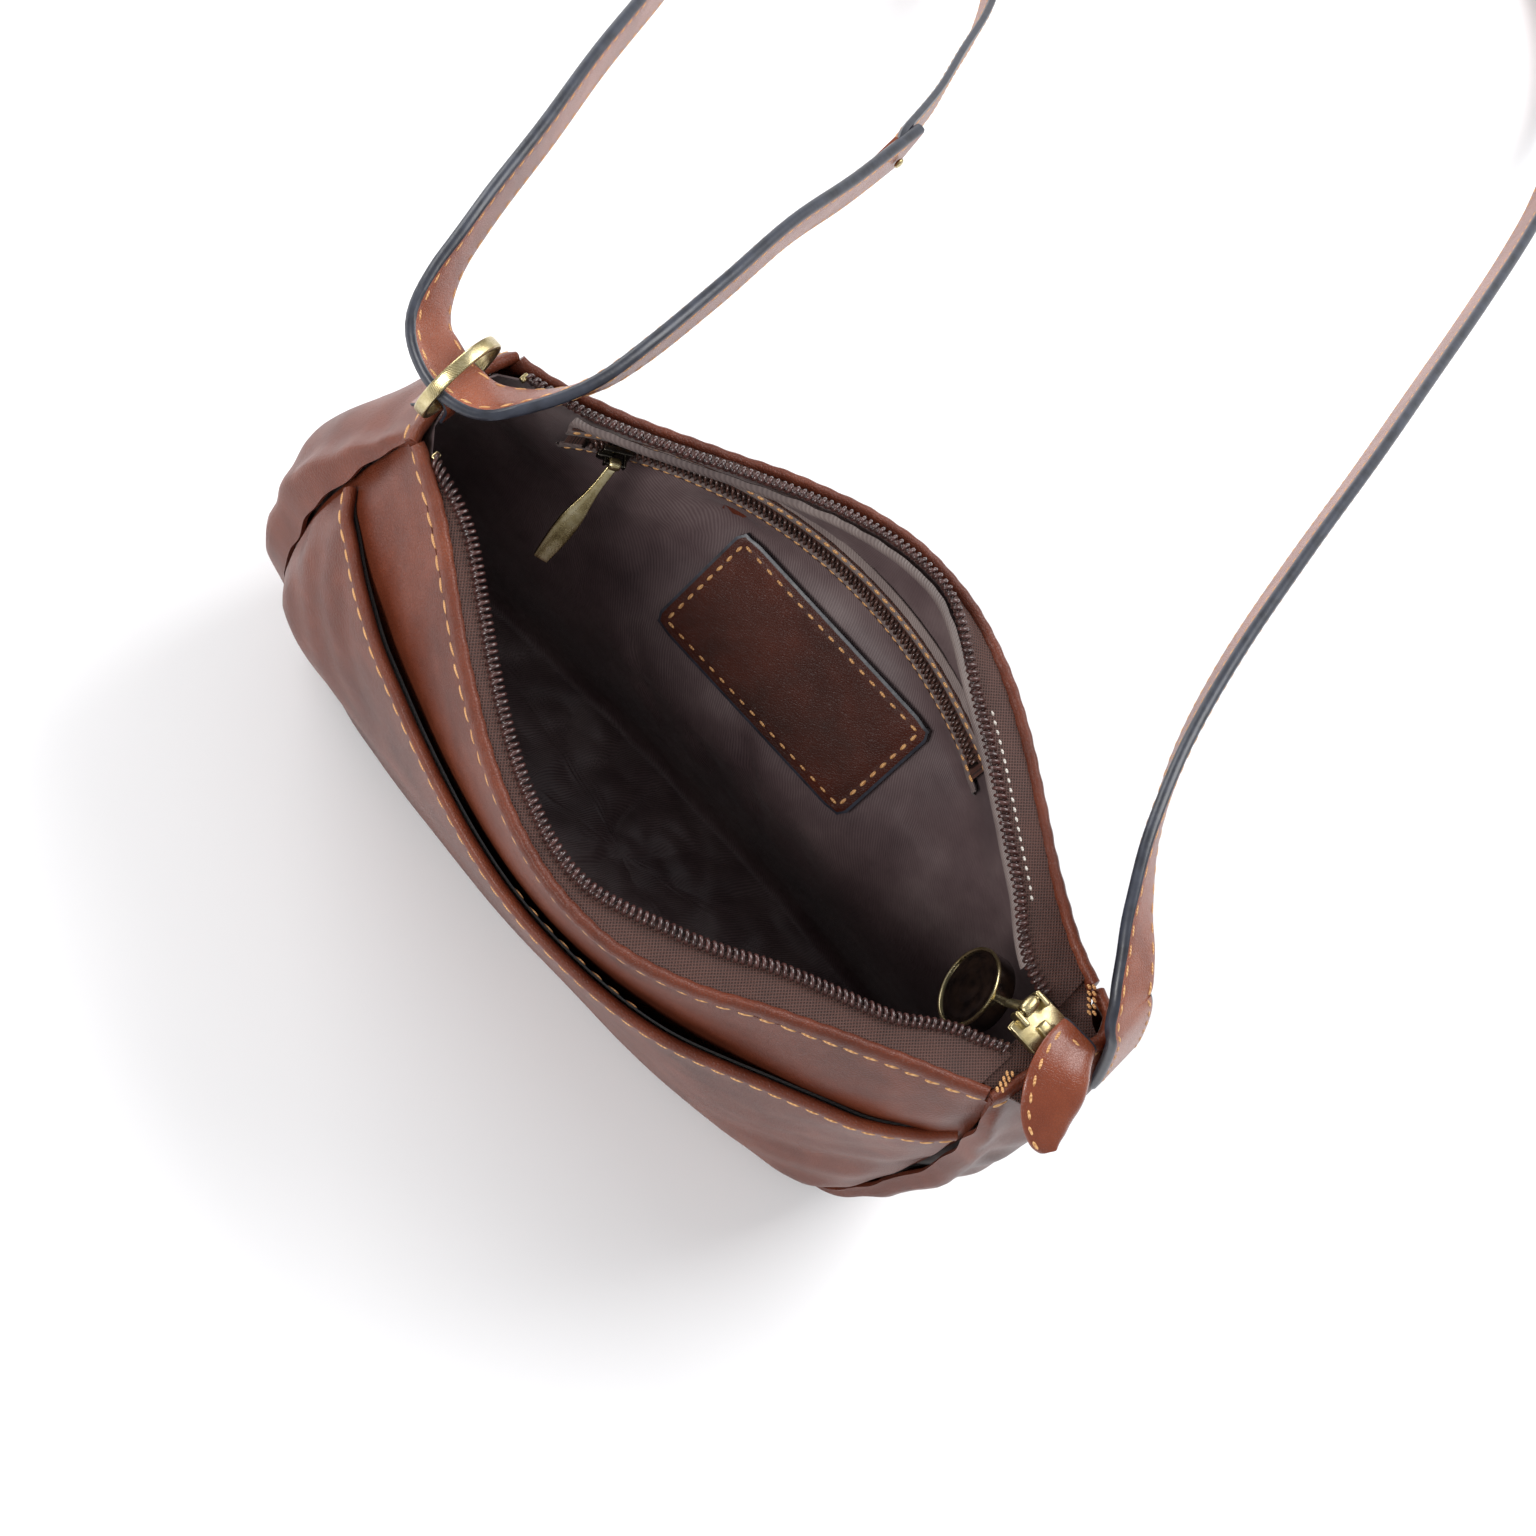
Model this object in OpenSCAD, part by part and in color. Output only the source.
// Crossbody purse: soft leather body, open zip top, lined inside, one long flat strap.
// +X is the end where the zip's slider rests, -Y is the front with the slip pocket, +Z is up.
// The origin is the middle of the base, on the surface that the bag stands on.

/* [Body] */
// Distance between the side seams at mid height
seam_len = 242; // [230:1:250]
// Height of the rim above the floor
body_h = 150; // [145:1:155]
// Depth of the body across the open mouth
mouth_depth = 136; // [130:1:140]
// Depth of the base
base_depth = 76; // [72:1:84]
// Width of a side panel at the rim
gusset_w = 40; // [38:1:42]
// Thickness of the leather
leather_t = 1.6; // [1.4:0.1:1.8]
// Thickness of the lining cloth
lining_t = 0.8; // [0.6:0.1:1]

/* [Front pocket] */
// Height of the slip pocket's edge at the side seams
pocket_h = 112; // [108:1:116]
// How far the pocket's edge stands off the bag in the middle
pocket_gap = 7.2; // [6.8:0.1:7.6]

/* [Main zip] */
// Width of the zip tape that shows, coil included
tape_w = 12; // [11:0.5:13]
// Diameter of one coil
coil_d = 2.4; // [2.2:0.1:2.6]
// Diameter of the round pull
medal_d = 23; // [20:0.5:24]

/* [Inner zip] */
// Radius of the curve that the inner zip follows
inner_r = 125; // [124:0.5:126]
// Height of the inner zip's chain
inner_z = 129; // [127:1:131]
// Length of the inner pull
inner_pull_l = 34; // [28:1:36]

/* [Strap] */
// Width of the strap
strap_w = 18; // [17:0.5:18]
// Thickness of the strap
strap_t = 3.3; // [3:0.1:3.4]
// Outer diameter of the ring
ring_d = 27; // [27:0.5:28]

/* [Hidden] */

// Round tubes and rings
fine = 48;
// Clearance between neighbouring layers
gap = 0.4;
// Points across a wall, and up it
wall_cols = 20;
wall_rows = 11;
// Points across a side panel
gusset_cols = 8;

tan_leather = [0.50, 0.27, 0.19];
dark_leather = [0.38, 0.20, 0.15];
edge_paint = [0.12, 0.12, 0.14];
lining_cloth = [0.36, 0.32, 0.32];
black_cloth = [0.06, 0.06, 0.06];
zip_brown = [0.25, 0.15, 0.13];
brass = [0.66, 0.58, 0.38];
gunmetal = [0.20, 0.19, 0.18];
enamel = [0.07, 0.04, 0.03];

// ---- outline of the body at height fraction t --------------------------------------------
function lerp(a, b, t) = a + (b - a) * t;
function half_len(t) = seam_len / 2 - 9 * pow(2 * t - 1, 2);
function half_depth(t) = lerp(base_depth, mouth_depth, pow(t, 0.75)) / 2;
function half_end(t) = lerp(26, gusset_w / 2, t);
function bulge(t) = 4 + 13 * sin(180 * t);
function peak(t) = 0.35 + 0.5 * pow(t, 4);
function crest(u, t) = pow(0.5 + 0.5 * cos(180 * u), peak(t));

// A point on the wall: u runs from -1 to 1 along the bag, s is how far it lies inside
function wall_y(u, t, s) = half_end(t) - s + (half_depth(t) - half_end(t)) * crest(u, t);
function wall_pt(side, u, t, s) =
    [(half_len(t) - s) * u, side * wall_y(u, t, s), t * body_h];
// A point on the side panel: w runs from -1 to 1 across it
function end_pt(side, w, t, s) =
    [side * (half_len(t) - s + bulge(t) * (1 - w * w)), (half_end(t) - s) * w, t * body_h];
function steps(a, b, n) = [for (i = [0:n]) a + (b - a) * i / n];
// A fuller lining at the back, where the inner pocket pushes it inwards
function smooth(a, b, x) = let (s = max(0, min(1, (x - a) / (b - a)))) s * s * (3 - 2 * s);
function sag(t) = 25 * exp(-pow((t - 0.45) / 0.3, 2)) * (1 - smooth(0.74, 0.82, t));

// ---- solids from grids of points ---------------------------------------------------------
// Triangles of a grid of n rows by m columns that starts at point k
function grid_faces(n, m, k, flip) = [
    for (i = [0:n - 2], j = [0:m - 2], h = [0, 1])
        let (a = k + i * m + j, b = a + 1, c = a + m, d = c + 1,
             f = h == 0 ? [a, b, d] : [a, d, c])
        flip ? [f[2], f[1], f[0]] : f
];
// Triangles that close the gap between two matching point lists
function strip_faces(p, q) = [
    for (i = [0:len(p) - 2], h = [0, 1])
        h == 0 ? [p[i], p[i + 1], q[i + 1]] : [p[i], q[i + 1], q[i]]
];
// A closed sheet between an outer and an inner grid; flip turns it the right way out
module sheet(outer, inner, flip) {
    n = len(outer);
    m = len(outer[0]);
    s = n * m;
    top = [for (j = [0:m - 1]) (n - 1) * m + j];
    low = [for (j = [0:m - 1]) m - 1 - j];
    left = [for (i = [0:n - 1]) i * m];
    right = [for (i = [0:n - 1]) (n - 1 - i) * m + m - 1];
    rings = concat(strip_faces(low, [for (k = low) k + s]),
                   strip_faces(left, [for (k = left) k + s]),
                   strip_faces(top, [for (k = top) k + s]),
                   strip_faces(right, [for (k = right) k + s]));
    polyhedron(
        points = [for (g = [outer, inner], row = g, p = row) p],
        faces = concat(grid_faces(n, m, 0, flip), grid_faces(n, m, s, !flip),
                       [for (f = rings) flip ? [f[2], f[1], f[0]] : f]));
}
// A closed solid through a list of sections, all with the same number of points
module loft(sections) {
    n = len(sections);
    m = len(sections[0]);
    polyhedron(
        points = [for (row = sections, p = row) p],
        faces = concat(
            [for (i = [0:n - 2], j = [0:m - 1], h = [0, 1])
                let (a = i * m + j, b = i * m + (j + 1) % m, c = a + m, d = b + m)
                h == 0 ? [a, d, b] : [a, c, d]],
            [[for (j = [0:m - 1]) j]],
            [[for (j = [0:m - 1]) (n - 1) * m + m - 1 - j]]));
}

// A wall from height fraction t0 to t1, from u0 to u1, between insets s0 and s1
module wall(side, t0, t1, u_end, s0, thick, rows = wall_rows) {
    ts = steps(t0, t1, rows);
    us = steps(-u_end, u_end, wall_cols);
    sheet([for (t = ts) [for (u = us) wall_pt(side, u, t, s0)]],
          [for (t = ts) [for (u = us) wall_pt(side, u, t, s0 + thick)]], side > 0);
}
module side_panel(side, t0, t1, s0, thick, w_end, rows = wall_rows) {
    ts = steps(t0, t1, rows);
    ws = steps(-w_end, w_end, gusset_cols);
    sheet([for (t = ts) [for (w = ws) end_pt(side, w, t, s0)]],
          [for (t = ts) [for (w = ws) end_pt(side, w, t, s0 + thick)]], side < 0);
}
// The flat outline of the body at height fraction t, inset by s
module outline(t, s) {
    us = steps(-0.98, 0.98, wall_cols);
    ws = steps(-0.8, 0.8, gusset_cols);
    flat = concat(
        [for (u = us) wall_pt(-1, u, t, s)], [for (w = ws) end_pt(1, w, t, s)],
        [for (u = us) wall_pt(1, -u, t, s)], [for (w = ws) end_pt(-1, -w, t, s)]);
    polygon([for (p = flat) [p[0], p[1]]]);
}

// ---- leather body ------------------------------------------------------------------------
seam_u = 0.985;
seam_w = 0.9;
rim_t = 1 - 3 / body_h;
module front_panel() color(tan_leather) wall(-1, 0, rim_t, seam_u, 0, leather_t);
module back_panel() color(tan_leather) wall(1, 0, rim_t, seam_u, 0, leather_t);
module gusset_left() color(tan_leather) side_panel(-1, 0, rim_t, 0, leather_t, seam_w);
module gusset_right() color(tan_leather) side_panel(1, 0, rim_t, 0, leather_t, seam_w);
module base_panel() color(tan_leather) linear_extrude(leather_t) outline(0, leather_t + gap);
board_t = 1.4;
module base_board() color(dark_leather) translate([0, 0, leather_t + gap])
    linear_extrude(board_t) outline(0.02, leather_t + lining_t + 3 * gap + 1);

// ---- slip pocket on the front ------------------------------------------------------------
// The pocket's edge leaves the wall in the middle; at the sides it lies on it
pocket_t0 = 3 / body_h;
pocket_t1 = pocket_h / body_h;
function stand_off(u, t) = gap + (pocket_gap - gap) * pow(cos(90 * u), 0.8) * pow(t / pocket_t1, 1.5);
module pocket_sheet(t0, t1, lift, thick, u_end, rows) {
    ts = steps(t0, t1, rows);
    us = steps(-u_end, u_end, wall_cols);
    sheet([for (t = ts) [for (u = us) wall_pt(-1, u, t, -lift - stand_off(u, t) - thick)]],
          [for (t = ts) [for (u = us) wall_pt(-1, u, t, -lift - stand_off(u, t))]], false);
}
pocket_u = 0.97;
edge_h = 5;
module pocket_panel() color(tan_leather)
    pocket_sheet(pocket_t0, pocket_t1 - (edge_h + gap) / body_h, 0.9, 1.2, pocket_u, wall_rows);
module pocket_edge() color(dark_leather)
    pocket_sheet(pocket_t1 - edge_h / body_h, pocket_t1, 0.4, 2.2, pocket_u, 2);
module pocket_lining() color(black_cloth)
    pocket_sheet(pocket_t0, pocket_t1 - (edge_h + gap) / body_h, 0, 0.5, pocket_u - 0.02, wall_rows);

// ---- rim: a turned edge of leather all round the mouth -----------------------------------
rim_w = 7;
rim_top = 1;
function rim_section(side, u, s0, s1, z0, z1) = [
    [wall_pt(side, u, 1, s0)[0], wall_pt(side, u, 1, s0)[1], z0],
    [wall_pt(side, u, 1, s0)[0], wall_pt(side, u, 1, s1)[1], z0],
    [wall_pt(side, u, 1, s0)[0], wall_pt(side, u, 1, s1)[1], z1],
    [wall_pt(side, u, 1, s0)[0], wall_pt(side, u, 1, s0)[1], z1]
];
module rim_band(side, u_end, s0, s1, z0, z1, n = wall_cols) {
    loft([for (u = steps(-side * u_end, side * u_end, n)) rim_section(side, u, s0, s1, z0, z1)]);
}
rim_z = body_h - 3 + gap;
rim_thick = 2.4;
module rim_front() color(dark_leather) rim_band(-1, seam_u, 0, rim_w, rim_z, rim_z + rim_thick);
module rim_back() color(dark_leather) rim_band(1, seam_u, 0, rim_w, rim_z, rim_z + rim_thick);
module rim_end(side) {
    ws = steps(-0.6, 0.6, gusset_cols);
    outer = [for (w = ws) [end_pt(side, w, 1, 0)[0], end_pt(side, w, 1, 0)[1]]];
    inner = [for (w = ws) [end_pt(side, -w, 1, 4)[0], end_pt(side, -w, 1, 0)[1]]];
    translate([0, 0, rim_z]) linear_extrude(rim_thick) polygon(concat(outer, inner));
}
module rim_left() color(dark_leather) rim_end(-1);
module rim_right() color(dark_leather) rim_end(1);

// ---- lining ------------------------------------------------------------------------------
lining_s = leather_t + 2 * gap;
lining_z0 = leather_t + board_t + 3 * gap;
lining_t0 = (lining_z0 + lining_t) / body_h;
lining_t1 = 1 - 5 / body_h;
lining_u = 0.96;
module lining_front() color(lining_cloth)
    wall(-1, lining_t0, lining_t1, lining_u, lining_s, lining_t);
// A sheet behind the mouth that hangs drop(u, t) inside the back wall
function sagged(u, t, share, extra) =
    wall_pt(1, u, t, lining_s) - [0, share * sag(t) * pow(cos(90 * u), 0.6) + extra, 0];
module sagged_sheet(ts, us, share, thick) {
    sheet([for (t = ts) [for (u = us) sagged(u, t, share, 0)]],
          [for (t = ts) [for (u = us) sagged(u, t, share, thick)]], true);
}
module lining_back() color(lining_cloth)
    sagged_sheet(steps(lining_t0, lining_t1, wall_rows + 2),
                 steps(-lining_u, lining_u, wall_cols), 1, lining_t);
module lining_left() color(lining_cloth)
    side_panel(-1, lining_t0, lining_t1, lining_s, lining_t, 0.86);
module lining_right() color(lining_cloth)
    side_panel(1, lining_t0, lining_t1, lining_s, lining_t, 0.86);
module lining_base() color(lining_cloth) translate([0, 0, lining_z0 - gap])
    linear_extrude(lining_t) outline(0.03, lining_s + lining_t + gap);

// ---- main zip ----------------------------------------------------------------------------
tape_z = rim_z - 1;
tape_thick = 0.6;
tape_s0 = 3;
coil_s = rim_w + tape_w - 6;
tape_u = 0.93;
slider_x = 107;
// The zip's closed end lies a little nearer the front
slider_y = -3.5;
function drift(x) = slider_y * smooth(60, 104, x);
// The two halves draw together where they run into the slider
function near_slider(x) = pow(max(0, min(1, (x - 88) / 16)), 1.5);
function coil_y(x) = let (u = x / (half_len(1) - coil_s), y = wall_y(x / half_len(1), 1, coil_s))
    max(2.9, y - 4 * near_slider(x));
module tape(side) {
    xs = steps(-side * 104, side * 104, wall_cols + 8);
    loft([for (x = xs) let (y0 = side * wall_y(x / half_len(1), 1, tape_s0),
                            y1 = side * (coil_y(x) + 0.2) + drift(x))
        [[x, y0, tape_z], [x, y1, tape_z], [x, y1, tape_z + tape_thick], [x, y0, tape_z + tape_thick]]]);
}
module zip_tape_front() color(zip_brown) tape(-1);
module zip_tape_back() color(zip_brown) tape(1);
coil_z = tape_z + tape_thick + 0.1 + coil_d / 2;
module coil(side) {
    xs = steps(-side * 101, side * 101, wall_cols + 14);
    loft([for (x = xs) [for (k = [0:7])
        [x, side * (coil_y(x) + coil_d / 2 * cos(45 * k)) + drift(x),
         coil_z + side * coil_d / 2 * sin(45 * k)]]]);
}
module zip_coil_front() color(zip_brown) coil(-1);
module zip_coil_back() color(zip_brown) coil(1);
stop_x = -104;
module zip_stops() color(brass) for (side = [-1, 1])
    translate([stop_x, side * coil_y(stop_x), coil_z]) rotate([90, 0, 90])
        cylinder(d = coil_d + 0.1, h = 2.4, $fn = fine);

slider_l = 10;
slider_w = 13;
plate_t = 1.1;
slider_low = coil_z - coil_d / 2 - tape_thick - 0.45 - plate_t;
slider_high = coil_z + coil_d / 2 + 0.4;
ear_y = 3.3;
ear_t = 1.5;
ear_l = 5.4;
bar_r = 0.9;
pivot = [slider_x - slider_l / 2 - 0.5, slider_y, slider_high + plate_t + 2.5];
// A plate with its wide end towards the open zip
module plate(width, z) translate([slider_x, slider_y, z]) linear_extrude(plate_t) polygon([
    [-slider_l / 2, -width / 2], [slider_l / 2, -width / 2 + 2],
    [slider_l / 2, width / 2 - 2], [-slider_l / 2, width / 2]]);
module main_slider() color(brass) {
    plate(slider_w, slider_high);
    plate(slider_w - 4, slider_low);
    // wedge that keeps the two halves apart
    translate([slider_x - slider_l / 2 + 0.2, slider_y - 0.8, slider_low + 0.2])
        cube([3, 1.6, slider_high - slider_low + plate_t - 0.4]);
    // ears and bar that the pull turns on
    for (side = [-1, 1]) translate([pivot[0] - 1.6, slider_y + side * (ear_y + ear_t / 2) - ear_t / 2,
                                    slider_high + 0.2])
        cube([ear_l, ear_t, pivot[2] + 1.4 - slider_high]);
    translate(pivot) rotate([90, 0, 0])
        cylinder(r = bar_r, h = 2 * ear_y + 0.4, center = true, $fn = fine);
}
// The pull hangs from the bar, which lies along Y
link_l = 12.5;
link_t = 1.6;
eye_r = 2.1;
hang = -62;
medal_t = 4.6;
module on_link() translate(pivot) rotate([0, hang, 0]) rotate([0, 0, 180]) children();
module pull_link() color(brass) on_link() difference() {
    union() {
        rotate([90, 0, 0]) cylinder(r = eye_r, h = 2 * ear_y - 0.6, center = true, $fn = fine);
        hull() {
            translate([1, -2.8, -link_t / 2]) cube([2, 5.6, link_t]);
            translate([link_l - 1, -1.8, -link_t / 2]) cube([1, 3.6, link_t]);
        }
    }
    rotate([90, 0, 0]) cylinder(r = bar_r + 0.06, h = 9, center = true, $fn = fine);
}
medal_c = link_l + medal_d / 2 + 0.4;
module medallion_rim() color(brass) on_link() translate([medal_c, 0, 0]) difference() {
    translate([0, 0, -medal_t / 2]) cylinder(d = medal_d, h = medal_t, $fn = fine);
    translate([0, 0, medal_t / 2 - 1.2]) cylinder(d = medal_d - 2.4, h = 2, $fn = fine);
}
module medallion_face() color(enamel) on_link() translate([medal_c, 0, medal_t / 2 - 1.1])
    cylinder(d = medal_d - 2.8, h = 0.8, $fn = fine);

// Folded leather tab over the closed end of the zip
tab_l = 32;
tab_w = 17;
module zip_end_tab() color(dark_leather)
    translate([124, -12, body_h + 1]) rotate([10, 3, -16]) difference() {
        translate([-tab_w / 2, -tab_l / 2, 0]) cube([tab_w, tab_l, 4.4]);
        // the stitched side is a long curve that meets the fold at both ends
        difference() {
            translate([-tab_w, -tab_l, -1]) cube([tab_w * 1.5, 2 * tab_l, 7]);
            translate([tab_w / 2 + 4, 0, -2]) cylinder(r = tab_w + 4, h = 9, $fn = 2 * fine);
        }
    }

// ---- inner zip pocket --------------------------------------------------------------------
inner_c = [-3.3, -68.3];
inner_a0 = 66;
inner_a1 = 130;
module arc_band(r, thick, h, a0, a1) translate([inner_c[0], inner_c[1], inner_z - h / 2])
    rotate([0, 0, a0]) rotate_extrude(angle = a1 - a0, $fn = 4 * fine)
        translate([r, 0]) square([thick, h]);
module inner_zip_tape() color(zip_brown)
    arc_band(inner_r - 0.6, 0.6, 14, inner_a0 - 2, inner_a1 + 3.4);
module inner_zip_chain() color(zip_brown) arc_band(inner_r - 2, 1.3, 4, inner_a0, inner_a1 + 1);
module at_inner(angle, r) translate([inner_c[0], inner_c[1], inner_z])
    rotate([0, 0, angle]) translate([r, 0, 0]) children();
module inner_zip_stops() color(gunmetal) for (a = [inner_a0 - 0.6, inner_a1 + 1.6])
    at_inner(a, inner_r - 2) translate([0, -0.5, -2.2]) cube([1.3, 1, 4.4]);
inner_rest = 127.6;
// The pull turns on a bar that two ears hold off the slider's plate
inner_bar = 3.6;
inner_bar_r = 0.7;
inner_ear = 2.3;
module inner_slider() color(gunmetal) at_inner(inner_rest, inner_r - 2.3) {
    translate([-1.2, -4.2, -3.4]) cube([1.2, 8.4, 6.8]);
    for (side = [-1, 1]) translate([-inner_bar - 0.9, side * (inner_ear + 0.4) - 0.4, -0.9])
        cube([inner_bar + 0.4, 0.8, 1.8]);
    translate([-inner_bar, 0, 0]) rotate([90, 0, 0])
        cylinder(r = inner_bar_r, h = 2 * inner_ear + 0.4, center = true, $fn = fine);
}
// The inner pull hangs from the bar and lies on the sloping lining
inner_hang = 42;
// The pull is loose on its bar and lies askew
inner_skew = 20;
inner_pull_t = 1.2;
inner_eye_r = 1.7;
module inner_pull() color(brass) at_inner(inner_rest, inner_r - 2.3)
    translate([-inner_bar, 0, 0]) rotate([0, inner_hang, 0]) difference() {
        union() {
            rotate([90, 0, 0]) cylinder(r = inner_eye_r, h = 4, center = true, $fn = fine);
            rotate([inner_skew, 0, 0]) hull() {
                translate([-inner_pull_t / 2, -1.6, -3]) cube([inner_pull_t, 3.2, 2]);
                translate([-inner_pull_t / 2, -3, -inner_pull_l * 0.6]) cube([inner_pull_t, 6, 4]);
                translate([-inner_pull_t / 2, -2, -inner_pull_l]) cube([inner_pull_t, 4, 1]);
            }
        }
        rotate([90, 0, 0]) cylinder(r = inner_bar_r + 0.06, h = 6, center = true, $fn = fine);
    }
// The pouch behind the inner zip, between the lining and the back
module inner_pocket() color(lining_cloth)
    sagged_sheet(steps(0.24, 0.68, 6), steps(-0.66, 0.36, 12), 0.5, 1);
// Leather label sewn on the lining, which it follows
label_x = [-39.5, 33.5];
label_z = [84, 112];
label_t = 2.6;
label_near = lining_t + 0.1;
function label_pts(extra) = [
    for (z = steps(label_z[0], label_z[1], 6)) let (t = z / body_h)
        [for (x = steps(label_x[0], label_x[1], 12)) sagged(x / half_len(t), t, 1, extra)]
];
module label_patch() color(dark_leather)
    sheet(label_pts(label_near), label_pts(label_near + label_t), true);

// ---- ring and strap ----------------------------------------------------------------------
ring_c = [-114, -8, 167.5];
ring_wall = 1.8;
ring_w = 3.6;
module strap_ring() color(brass) translate(ring_c) rotate([0, 90, 0]) difference() {
    cylinder(d = ring_d, h = ring_w, center = true, $fn = 2 * fine);
    cylinder(d = ring_d - 2 * ring_wall, h = ring_w + 1, center = true, $fn = 2 * fine);
}
// Leather tab whose loop holds the foot of the ring
ring_foot = ring_c - [0, 0, ring_d / 2 - ring_wall / 2];
tab_in = 2.6;
tab_out = 3.7;
tab_wide = 8;
module ring_tab() color(tan_leather) translate(ring_foot) rotate([90, 0, 0]) difference() {
    union() {
        cylinder(r = tab_out, h = tab_wide, center = true, $fn = fine);
        translate([-tab_out, -tab_out - 1, -tab_wide / 2]) cube([2 * tab_out, tab_out + 1, tab_wide]);
    }
    cylinder(r = tab_in, h = tab_wide + 2, center = true, $fn = fine);
}

// Where the free strap begins at the right-hand end, on the line that the strap swings about
anchor_top = [119.4, 13.5, 160];
// Sewn end of the strap on the right-hand side panel, with a round foot
anchor_route = [[129.6, 14, 134], [127.4, 13.8, 142], [125.2, 13.6, 149], [123.6, 13.5, 154]];
anchor_foot = [130.8, 14, 129];

// The buckle stands on the floor behind the bag; its own frame: along the strap, outwards, up
buckle_c = [-182, 398, 13.6];
buckle_turn = 74;
function bk(a, n) = buckle_c + [a * cos(buckle_turn) - n * sin(buckle_turn),
                                a * sin(buckle_turn) + n * cos(buckle_turn), 0];

// Each strap point: x, y, z and the lean of the strap's width from upright, in degrees
long_route = [
    [anchor_top[0], anchor_top[1], anchor_top[2], 80], [116, 16.5, 163.5, 70],
    [110.5, 22.5, 166, 57], [102, 32, 168, 44], [91, 49, 169, 33],
    [81, 76, 165, 27], [74, 112, 155, 24], [69, 160, 137, 22], [65, 212, 116, 20],
    [61, 262, 93, 17], [57, 312, 70, 14], [52, 362, 48, 10], [46, 402, 31, 6],
    [35, 440, 18, 3], [13, 472, 11.6, 1], [-22, 494, 10, 0], [-64, 502, 9.6, 0],
    [-106, 492, 9.8, 0], [-140, 468, 11, 0], [-162, 440, 12.8, 0],
    concat(bk(26, -3.6), 0), concat(bk(16, -3.6), 0), concat(bk(10.5, -2.6), 0),
    concat(bk(5, 1.2), 0), concat(bk(0.6, 4.5), 0), concat(bk(-5, 5.4), 0),
    concat(bk(-14, 4.9), 0), concat(bk(-40, 4.9), 0)
];
loop_route = [
    concat(bk(-40.4, 4.9), 0), concat(bk(-48, 4.9), 0), concat(bk(-60, 5.6), 1), [-208, 316, 19, 3], [-207, 284, 38, 6],
    [-200, 250, 60, 10], [-192, 214, 84, 14], [-181, 176, 107, 18], [-170, 136, 130, 21],
    [-160, 96, 149, 24], [-150, 60, 163, 28], [-142, 28, 170.6, 36], [-136, 8, 170, 48],
    [-129, -4, 169, 58], [-120, -8.4, 167.8, 64], [-111, -8.4, 167.2, 64],
    [-103, -4, 167, 58], [-95, 7, 168.6, 46], [-90, 20, 170, 36], [-88.5, 38, 169.5, 29],
    [-89.5, 68, 161, 25], [-92, 104, 146, 23], [-92.5, 138, 128.5, 22], [-94, 172, 111.5, 20]
];
tail_route = [
    [-94.7, 174.4, 109.9, 20], [-101, 200, 94, 18], [-108, 228, 77, 15], [-117, 262, 56, 11],
    [-130, 292, 37, 7], [-150, 318, 22, 4], [-171, 337, 15, 1], concat(bk(-42, -0.2), 0),
    concat(bk(-26, 0), 0), concat(bk(-12, 0), 0), concat(bk(-3.4, 0), 0)
];

function unit(v) = v / norm(v);
// One smooth curve through the route's points
function spline(p, sub) = [for (i = [0:len(p) - 2], k = [0:sub - 1])
    let (a = p[max(0, i - 1)], b = p[i], c = p[i + 1], d = p[min(len(p) - 1, i + 2)], s = k / sub)
    0.5 * (2 * b + (c - a) * s + (2 * a - 5 * b + 4 * c - d) * s * s
           + (3 * b - a - 3 * c + d) * s * s * s), p[len(p) - 1]];
function xyz(p) = [p[0], p[1], p[2]];
module strap_piece(route, wide, thick, sub = 2) {
    p = spline(route, sub);
    n = len(p);
    loft([for (i = [0:n - 1])
        let (along = unit(xyz(p[min(n - 1, i + 1)]) - xyz(p[max(0, i - 1)])),
             lean = [0, -sin(p[i][3]), cos(p[i][3])],
             up = unit(lean - (lean * along) * along), out = cross(along, up),
             c = xyz(p[i]), h = up * wide / 2, t = out * thick / 2)
        [c - h - t, c + h - t, c + h + t, c - h + t]]);
}
module strap_long() color(dark_leather) difference() {
    strap_piece(long_route, strap_w, strap_t);
    // hole that the buckle's prong goes through
    at_buckle() translate([-3, -2, -1.8]) cube([12, 11, 3.6]);
}
module strap_loop() color(dark_leather) strap_piece(loop_route, strap_w, strap_t);
tail_t = 2.4;
heel = -1.1;
fold_r = 2.9;
module strap_tail() color(dark_leather) difference() {
    union() {
        strap_piece(tail_route, strap_w, tail_t);
        at_buckle() translate([heel, 0, -strap_w / 2])
            cylinder(r = fold_r, h = strap_w, $fn = fine);
    }
    at_buckle() {
        translate([heel, 0, -strap_w]) cylinder(r = bar_d / 2 + 0.06, h = 2 * strap_w, $fn = fine);
        // slot for the prong
        translate([heel - fold_r - 0.4, -6, -2.1]) cube([8, 12, 4.2]);
    }
}
module strap_anchor() color(dark_leather) {
    hull() {
        for (p = anchor_route) translate(p) rotate([0, -18, 0])
            translate([-strap_t / 2, -strap_w / 2, -0.5]) cube([strap_t, strap_w, 1]);
        translate(anchor_foot) rotate([0, -18, 0]) translate([-strap_t / 2, 0, 0])
            rotate([0, 90, 0]) cylinder(d = strap_w - 5, h = strap_t, $fn = 32);
    }
}
rivet_c = [-93.5, 164, 115.6];
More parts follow.
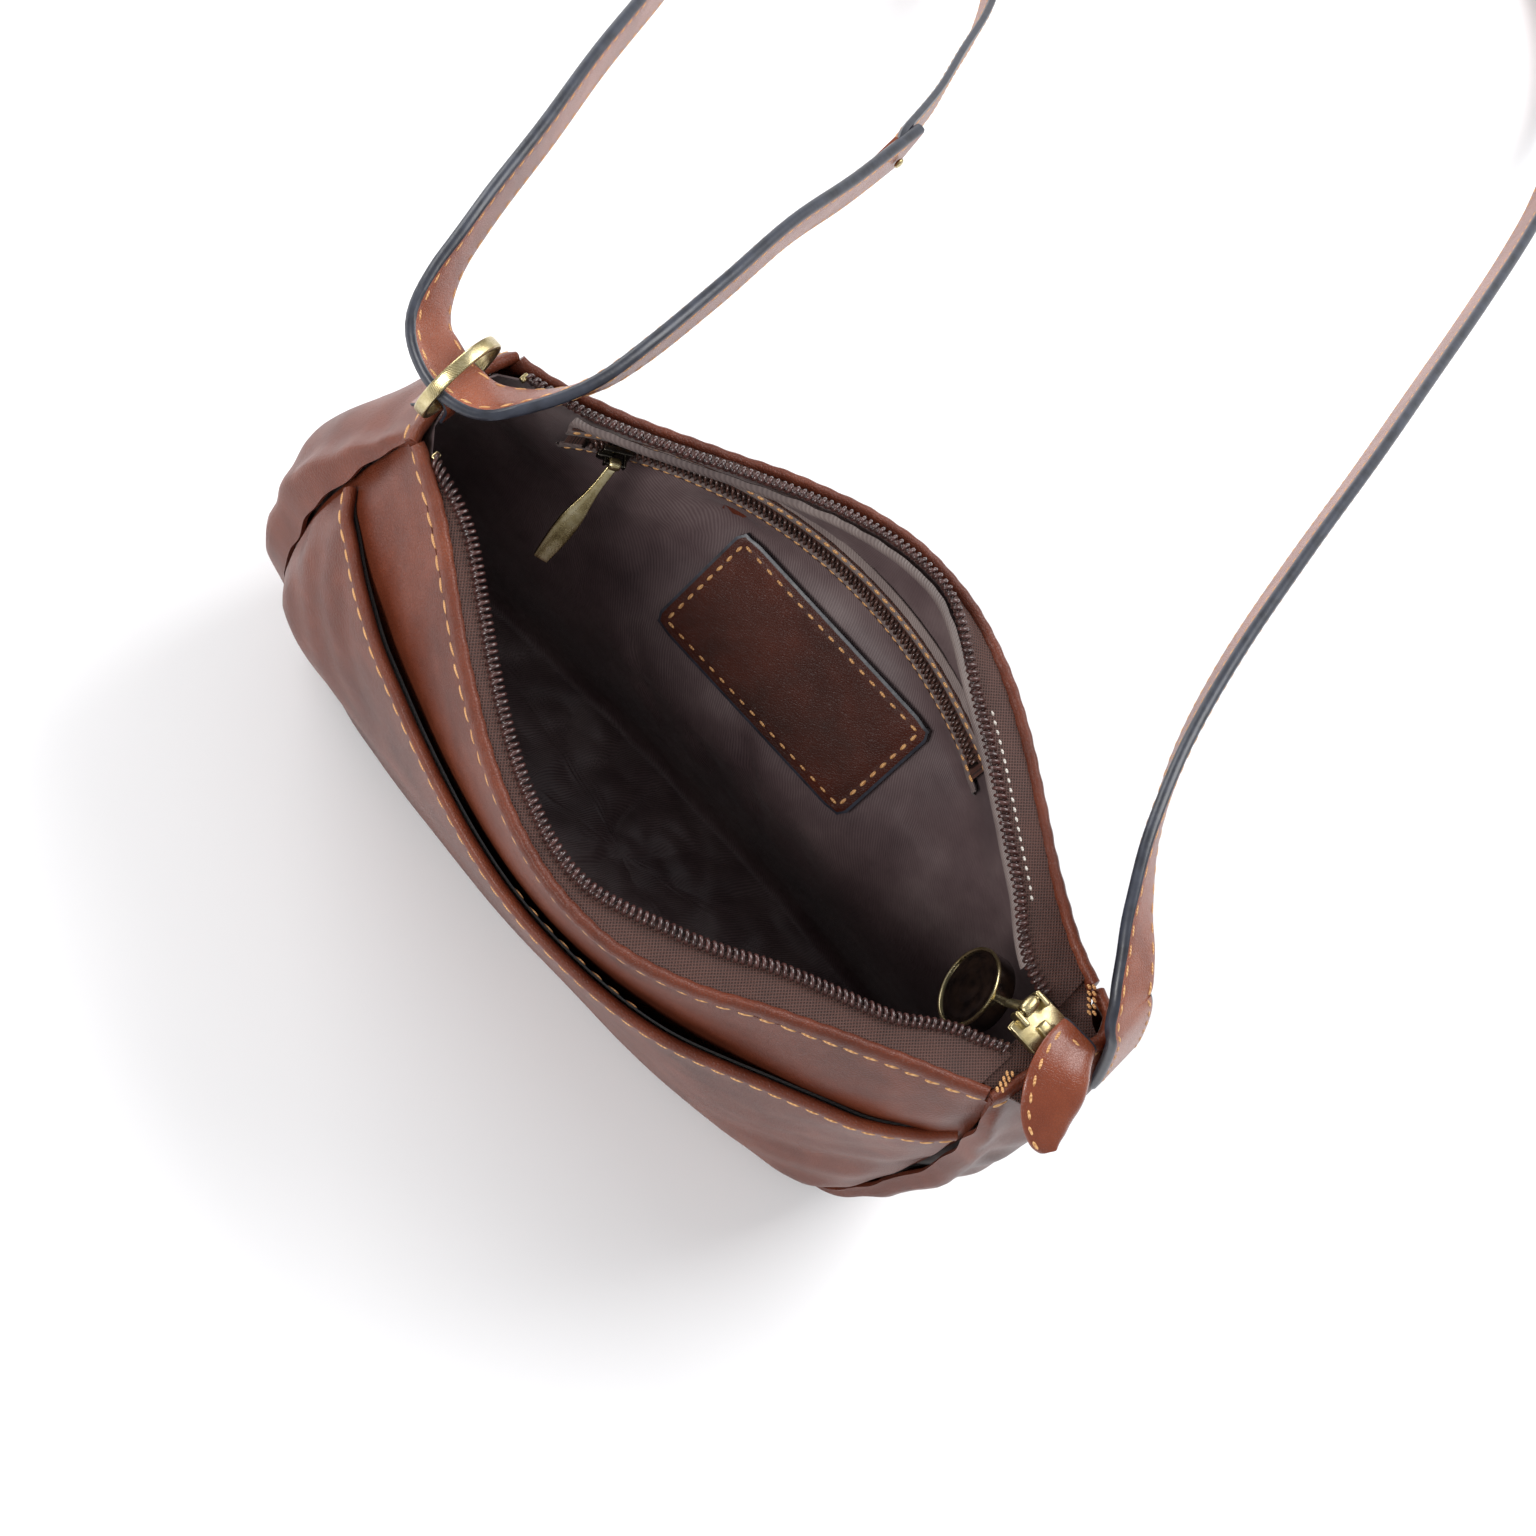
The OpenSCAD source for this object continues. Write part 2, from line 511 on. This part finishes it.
module splice_rivet() color(brass) translate(rivet_c) rotate([0, 86, 0])
    for (k = [-1, 1]) translate([0, 0, k * (strap_t / 2 + 1)]) scale([1, 1, 0.5])
        sphere(d = 3.4, $fn = 24);

module at_buckle() translate(buckle_c) rotate([0, 0, buckle_turn]) children();
bar_d = 2.6;
frame_h = 26.6;
frame_l = 19;
module buckle_frame() color(brass) at_buckle() {
    for (x = [heel, heel + frame_l - bar_d]) translate([x, 0, -frame_h / 2 + 0.2])
        cylinder(d = bar_d, h = frame_h - 0.4, $fn = fine);
    for (z = [-frame_h / 2 + bar_d / 2, frame_h / 2 - bar_d / 2])
        translate([heel, 0, z]) rotate([0, 90, 0])
            cylinder(d = bar_d, h = frame_l - bar_d, $fn = fine);
}
prong_n = 2.5;
module buckle_prong() color(brass) at_buckle() {
    difference() {
        translate([heel, 0, -1.6]) cylinder(r = 2.7, h = 3.2, $fn = fine);
        translate([heel, 0, -3]) cylinder(r = bar_d / 2 + 0.06, h = 6, $fn = fine);
    }
    translate([1, prong_n, 0]) rotate([0, 90, 0]) cylinder(d = 2, h = frame_l - 2.6, $fn = fine);
}
keeper_l = 9;
module strap_keeper() color(dark_leather) at_buckle() translate([-26, 2.6, 0]) difference() {
    cube([keeper_l, 12.8, strap_w + 4.4], center = true);
    cube([keeper_l + 1, 9.6, strap_w + 1], center = true);
}

front_panel();
back_panel();
gusset_left();
gusset_right();
base_panel();
base_board();
pocket_panel();
pocket_edge();
pocket_lining();
rim_front();
rim_back();
rim_left();
rim_right();
lining_front();
lining_back();
lining_left();
lining_right();
lining_base();
zip_tape_front();
zip_tape_back();
zip_coil_front();
zip_coil_back();
zip_stops();
zip_end_tab();
main_slider();
pull_link();
medallion_rim();
medallion_face();
inner_zip_tape();
inner_zip_chain();
inner_zip_stops();
inner_slider();
inner_pull();
inner_pocket();
label_patch();
ring_tab();
strap_ring();
strap_anchor();
strap_long();
strap_loop();
strap_tail();
splice_rivet();
buckle_frame();
buckle_prong();
strap_keeper();
